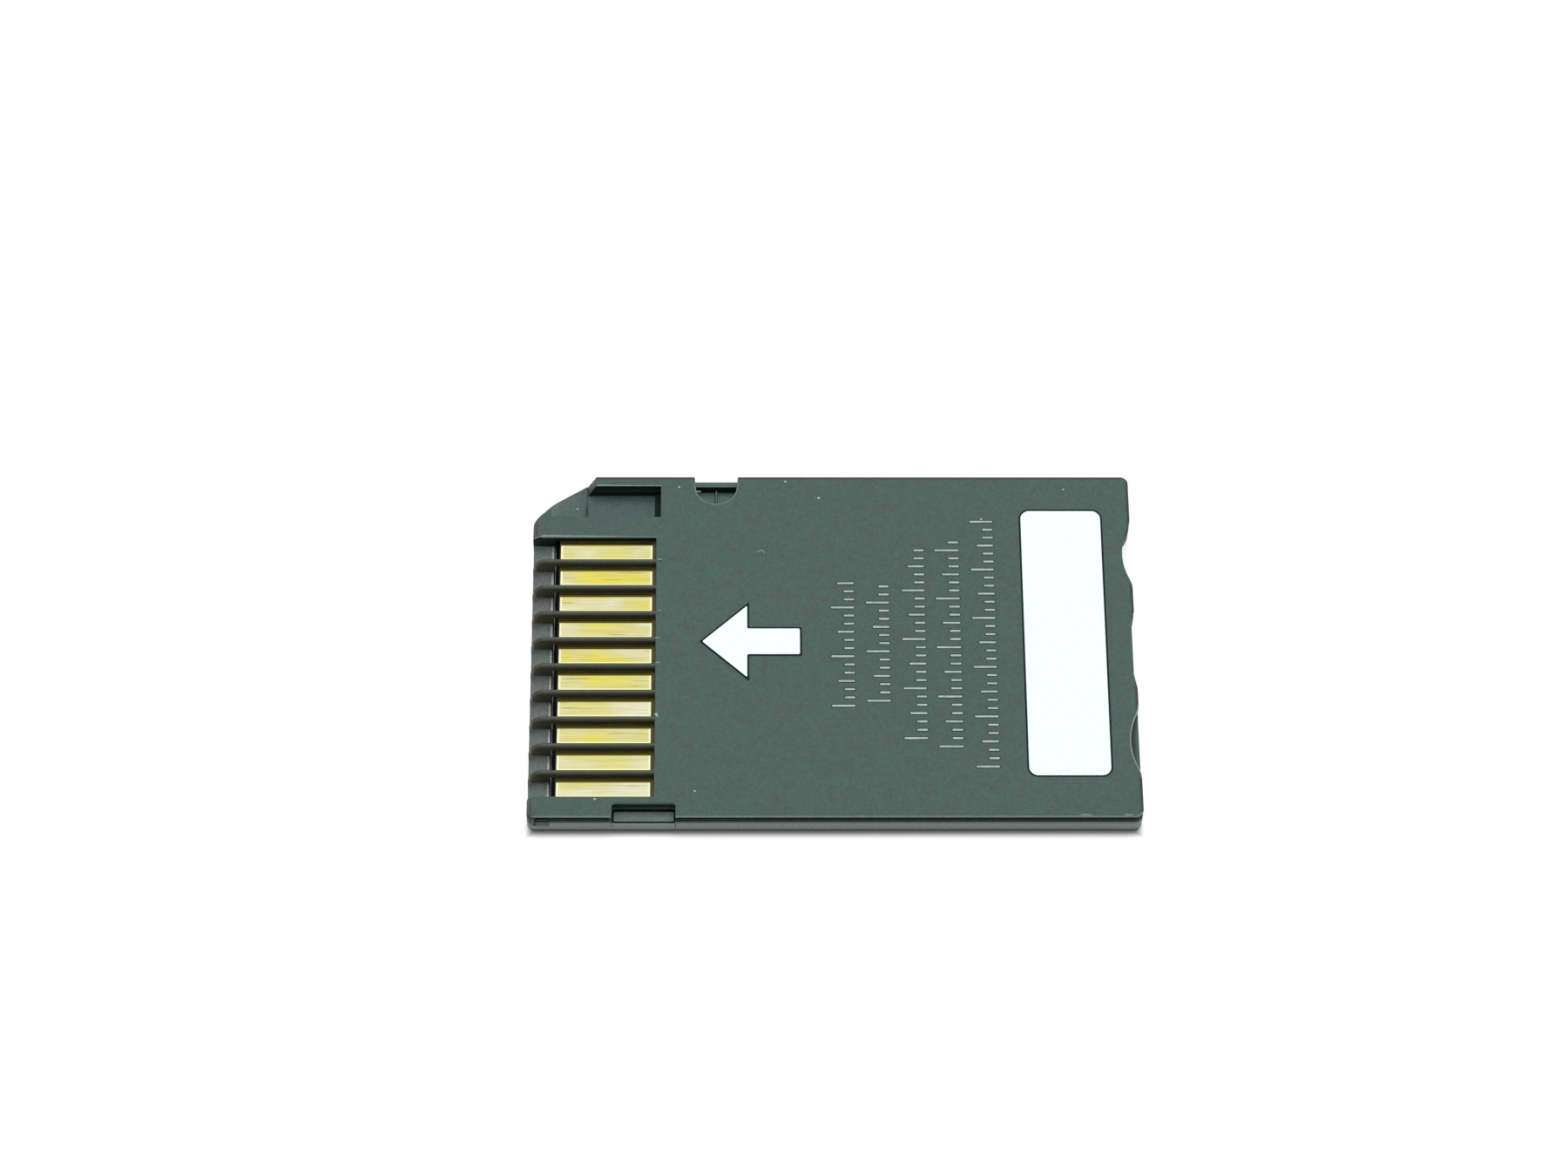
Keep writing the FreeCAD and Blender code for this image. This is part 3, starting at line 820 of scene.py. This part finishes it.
def makeTickRow(number, row, extra, height, material, name):
    near, far, left, right = row
    full = (right - left) * mm
    width = tickSet["stroke"] + extra * 2
    pieces = []
    kinds = {}
    count = int((far - near) / tickSet["pitch"]) + 1
    start = (near + far) / 2 - (count - 1) * tickSet["pitch"] / 2
    for index in range(count):
        share = tickSet["lengths"][index % len(tickSet["lengths"])]
        if share not in kinds:
            kinds[share] = makeStroke(name + "Stroke", full * share + extra * 2, width)
        place = Vector((right * mm - full * share / 2, (start + index * tickSet["pitch"]) * mm, 0))
        pieces.append(ownCopy(kinds[share], name + "Stroke", place))
    for kind in kinds.values():
        bpy.data.objects.remove(kind)
    piece = join(pieces, f"{name}_{number}")
    thicken(piece, faceTop + height)
    setMaterials(piece, material)
    belongs(piece)


# A ring of painted shade in the gap round the write-on strip
def makeStripShadeLine():
    low, high = [Vector(corner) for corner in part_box("write_on_strip")]
    line = printSet["halo"]
    deselect()
    bpy.ops.mesh.primitive_plane_add(size=1.0)
    piece = bpy.context.object
    piece.name = "stripShadeLine"
    bpy.ops.object.mode_set(mode="EDIT")
    bpy.ops.transform.resize(value=(high.x - low.x + line * 2, high.y - low.y + line * 2, 1.0))
    bpy.ops.transform.translate(value=((low.x + high.x) / 2, (low.y + high.y) / 2, 0))
    bpy.ops.mesh.bevel(offset=printSet["stripCorner"] + line, segments=8, affect="VERTICES")
    bpy.ops.mesh.select_all(action="SELECT")
    bpy.ops.mesh.inset(thickness=line)
    bpy.ops.mesh.delete(type="FACE")
    bpy.ops.object.mode_set(mode="OBJECT")
    thicken(piece, faceTop + printSet["haloHeight"])
    setMaterials(piece, finishes["paintedShadeLine"])
    belongs(piece)


makeArrow()
makeStripShadeLine()
for number, row in enumerate(tickSet["rows"], 1):
    makeTickRow(number, row, 0.0, printSet["height"], finishes["paleMark"], "tickRow")
    makeTickRow(number, row, printSet["thinHalo"], printSet["haloHeight"], finishes["paintedShadeLine"], "tickHalo")
print("print laid on the face")


# Dust and lint lying on the card, moulding flash and burrs left on its edges

dustSet = {
    "specks": (                  # place along X and Y and size, in mm
        (-0.66, 8.68, 0.12), (-1.87, 7.67, 0.10), (-2.41, 9.64, 0.12), (-5.55, -0.40, 0.10),
        (-7.98, 9.40, 0.10), (-8.41, -0.89, 0.10), (-13.30, 7.99, 0.10), (-8.12, 1.69, 0.09),
        (9.26, 9.81, 0.10), (7.80, 7.41, 0.09), (12.12, 9.22, 0.09), (-6.51, -9.50, 0.10),
        (-7.08, -8.56, 0.10), (-12.11, -9.00, 0.12), (-8.97, -4.10, 0.13),
    ),
    "flash": (                   # raised moulding flash: place along X and Y, length and width, in mm
        (2.20, -9.88, 0.45, 0.10), (5.60, -9.88, 0.25, 0.09), (12.60, -9.88, 0.60, 0.11),
        (13.70, -9.88, 0.45, 0.11), (14.70, -9.87, 0.50, 0.11), (-6.92, 9.05, 0.30, 0.10),
    ),
    "burr": (-8.95, 0.26, 0.09),             # at the end of each rib: place along X, length and width
    "ribs": (-7.32, 1.542, 9),               # place of the first along Y, pitch and number
    "flashSeed": 50,
    "burrSeed": 80,
    "height": 0.16,              # share of the width
    "unevenness": 0.16 * mm,     # how far a bit's surface is moved about before it is sized
    "speckLength": 1.2,          # share of a speck's width
    "smoothAngle": 60,
    "lint": (                    # corners of each thread, in mm
        ((-3.86, 5.38), (-3.72, 5.60), (-3.55, 5.52), (-3.50, 5.36)),
        ((-4.22, 0.30), (-4.05, 0.44), (-3.90, 0.40)),
        ((-9.14, -4.16), (-9.04, -4.02), (-8.94, -4.08)),
    ),
    "thread": 0.014 * mm,
}


def makeBit(number, across, along, length, width):
    deselect()
    bpy.ops.mesh.primitive_ico_sphere_add(subdivisions=2, radius=0.5 * mm)
    piece = bpy.context.object
    bpy.ops.object.mode_set(mode="EDIT")
    bpy.ops.mesh.select_all(action="SELECT")
    bpy.ops.transform.vertex_random(offset=dustSet["unevenness"], uniform=1.0, seed=number)
    bpy.ops.transform.resize(value=(length, width, width * dustSet["height"]))
    bpy.ops.transform.translate(value=(across * mm, along * mm, faceTop))
    bpy.ops.object.mode_set(mode="OBJECT")
    return piece


def gather(pieces, name, material):
    piece = join(pieces, name)
    setMaterials(piece, material)
    settle(piece)
    smooth(piece, dustSet["smoothAngle"])
    belongs(piece)


def makeSpecks():
    pieces = []
    for number, (across, along, size) in enumerate(dustSet["specks"], 1):
        pieces.append(makeBit(number, across, along, size * dustSet["speckLength"], size))
    gather(pieces, "dustSpecks", finishes["dust"])


def makeFlash():
    pieces = []
    for number, place in enumerate(dustSet["flash"], dustSet["flashSeed"]):
        pieces.append(makeBit(number, *place))
    across, length, width = dustSet["burr"]
    first, pitch, count = dustSet["ribs"]
    for index in range(count):
        pieces.append(makeBit(dustSet["burrSeed"] + index, across, first + index * pitch, length, width))
    # the flash and burrs are given the rear shell's painted highlight tone
    gather(pieces, "mouldingFlash", plastics["rearPaintedLight"])


def makeThread(number, corners):
    deselect()
    bpy.ops.curve.primitive_nurbs_path_add()
    piece = bpy.context.object
    piece.name = f"lintThread_{number}"
    bpy.ops.object.mode_set(mode="OBJECT")
    spline = piece.data.splines[0]
    for index, point in enumerate(spline.points):
        share = index / (len(spline.points) - 1) * (len(corners) - 1)
        start = min(int(share), len(corners) - 2)
        spot = Vector(corners[start]).lerp(Vector(corners[start + 1]), share - start)
        point.co = (spot.x * mm, spot.y * mm, faceTop + dustSet["thread"] * 0.5, 1.0)
    piece.data.bevel_depth = dustSet["thread"]
    piece.data.bevel_resolution = 2
    piece.data.use_fill_caps = True
    takeUp(piece)
    bpy.ops.object.convert(target="MESH")
    setMaterials(piece, finishes["dust"])
    smooth(piece, dustSet["smoothAngle"])
    belongs(piece)


makeSpecks()
makeFlash()
for number, corners in enumerate(dustSet["lint"], 1):
    makeThread(number, corners)
print("dust laid")


# Camera

cameraSet = {
    "lens": 107.19,
    "pitch": 59.8134,  # degrees down
    "yaw": 1.2142,
    "roll": 1.0551,
    "target": Vector((-2.4876, 3.7346, 0.8)) * mm,
    "distance": 241.5 * mm,
    "sensor": 36.0,
    "clip": (0.005, 10.0),
}


def placeCamera():
    pitch = math.radians(cameraSet["pitch"])
    yaw = math.radians(cameraSet["yaw"])
    roll = math.radians(cameraSet["roll"])
    ahead = Vector((math.sin(yaw) * math.cos(pitch), math.cos(yaw) * math.cos(pitch), -math.sin(pitch)))
    right = Vector((math.cos(yaw), -math.sin(yaw), 0))
    up = right.cross(ahead)
    tiltedRight = right * math.cos(roll) + up * math.sin(roll)
    tiltedUp = up * math.cos(roll) - right * math.sin(roll)
    bpy.ops.object.camera_add()
    camera = bpy.context.object
    camera.name = "photoCamera"
    turn = Matrix((tiltedRight, tiltedUp, -ahead)).transposed()
    spot = cameraSet["target"] - ahead * cameraSet["distance"]
    camera.matrix_world = Matrix.Translation(spot) @ turn.to_4x4()
    camera.data.lens = cameraSet["lens"]
    camera.data.sensor_width = cameraSet["sensor"]
    camera.data.clip_start, camera.data.clip_end = cameraSet["clip"]
    bpy.context.scene.camera = camera


# Light, floor and background

lightSet = {
    "keyPlace": Vector((0.03, 0.14, 0.50)),
    "keySize": 0.34,
    "keyPower": 2.3,
    "skyNear": 0.52,             # strength of the surrounding light on the near side
    "skyFar": 0.34,              # and on the far side
    "skyReach": 0.7,
    "floorSize": 4.0,
    "floorColour": (0.50, 0.50, 0.50, 1.0),
    "floorGlow": 0.62,           # light given by the floor itself, away from the card
    "contactShadowGlow": -0.10,        # and at the card's near side, where it drops to paint the card's shadow on the floor
    "contactShadowReach": (-10.37 * mm, -10.02 * mm),   # painted shadow from the open floor to the near side, along Y
    "besideReach": (-9.75 * mm, -9.55 * mm),      # behind the near corners the painted shadow ends and the floor glows again
    "cornerReach": (15.25 * mm, 15.65 * mm),      # and so it does past both ends, along X
}


def seenDirectly(nodes, links):
    path = nodes.new("ShaderNodeLightPath")
    both = calculate(nodes, links, "MAXIMUM", path.outputs["Is Camera Ray"], path.outputs["Is Glossy Ray"])
    return calculate(nodes, links, "MAXIMUM", both, path.outputs["Is Transmission Ray"])


def makeWorld():
    world = bpy.data.worlds.new("studio")
    bpy.context.scene.world = world
    world.use_nodes = True
    nodes = world.node_tree.nodes
    links = world.node_tree.links
    background = nodes["Background"]
    background.inputs["Color"].default_value = (1.0, 1.0, 1.0, 1.0)
    place = nodes.new("ShaderNodeTexCoord")
    parts = nodes.new("ShaderNodeSeparateXYZ")
    links.new(place.outputs["Generated"], parts.inputs["Vector"])
    reach = lightSet["skyReach"]
    fill = spread(nodes, links, parts.outputs["Y"], lightSet["skyNear"], lightSet["skyFar"], -reach, reach)
    direct = seenDirectly(nodes, links)
    links.new(calculate(nodes, links, "MAXIMUM", fill, direct), background.inputs["Strength"])


def makeFloor():
    bpy.ops.mesh.primitive_plane_add(size=lightSet["floorSize"], location=(0, 0, 0))
    floor = bpy.context.object
    floor.name = "whiteFloor"
    material = bpy.data.materials.new("whiteFloor")
    material.use_nodes = True
    nodes = material.node_tree.nodes
    links = material.node_tree.links
    shader = nodes["Principled BSDF"]
    shader.inputs["Base Color"].default_value = lightSet["floorColour"]
    shader.inputs["Roughness"].default_value = 1.0
    shader.inputs["Specular IOR Level"].default_value = 0.0
    shader.inputs["Emission Color"].default_value = (1.0, 1.0, 1.0, 1.0)
    place = nodes.new("ShaderNodeTexCoord")
    parts = nodes.new("ShaderNodeSeparateXYZ")
    links.new(place.outputs["Object"], parts.inputs["Vector"])
    # painted shadow: the floor's glow falls off towards the card's near side
    nearShadowGlow = spread(nodes, links, parts.outputs["Y"], lightSet["floorGlow"], lightSet["contactShadowGlow"],
                     *lightSet["contactShadowReach"])
    beside = spread(nodes, links, parts.outputs["Y"], 0.0, lightSet["floorGlow"], *lightSet["besideReach"])
    width = calculate(nodes, links, "ABSOLUTE", parts.outputs["X"], 0.0)
    aside = spread(nodes, links, width, 0.0, lightSet["floorGlow"], *lightSet["cornerReach"])
    around = calculate(nodes, links, "MAXIMUM", nearShadowGlow, beside)
    amount = calculate(nodes, links, "MAXIMUM", around, aside)
    glow = calculate(nodes, links, "MULTIPLY", seenDirectly(nodes, links), amount)
    links.new(glow, shader.inputs["Emission Strength"])
    setMaterials(floor, material)


def makeKeyLight():
    bpy.ops.object.light_add(type="AREA", location=lightSet["keyPlace"])
    key = bpy.context.object
    key.name = "softKey"
    key.data.size = lightSet["keySize"]
    key.data.energy = lightSet["keyPower"]
    key.rotation_euler = (-lightSet["keyPlace"]).to_track_quat("-Z", "Y").to_euler()
    key.visible_glossy = False


deselect()
placeCamera()
makeWorld()
makeFloor()
makeKeyLight()
bpy.context.scene.view_settings.view_transform = "Standard"
print("camera, light and floor placed")
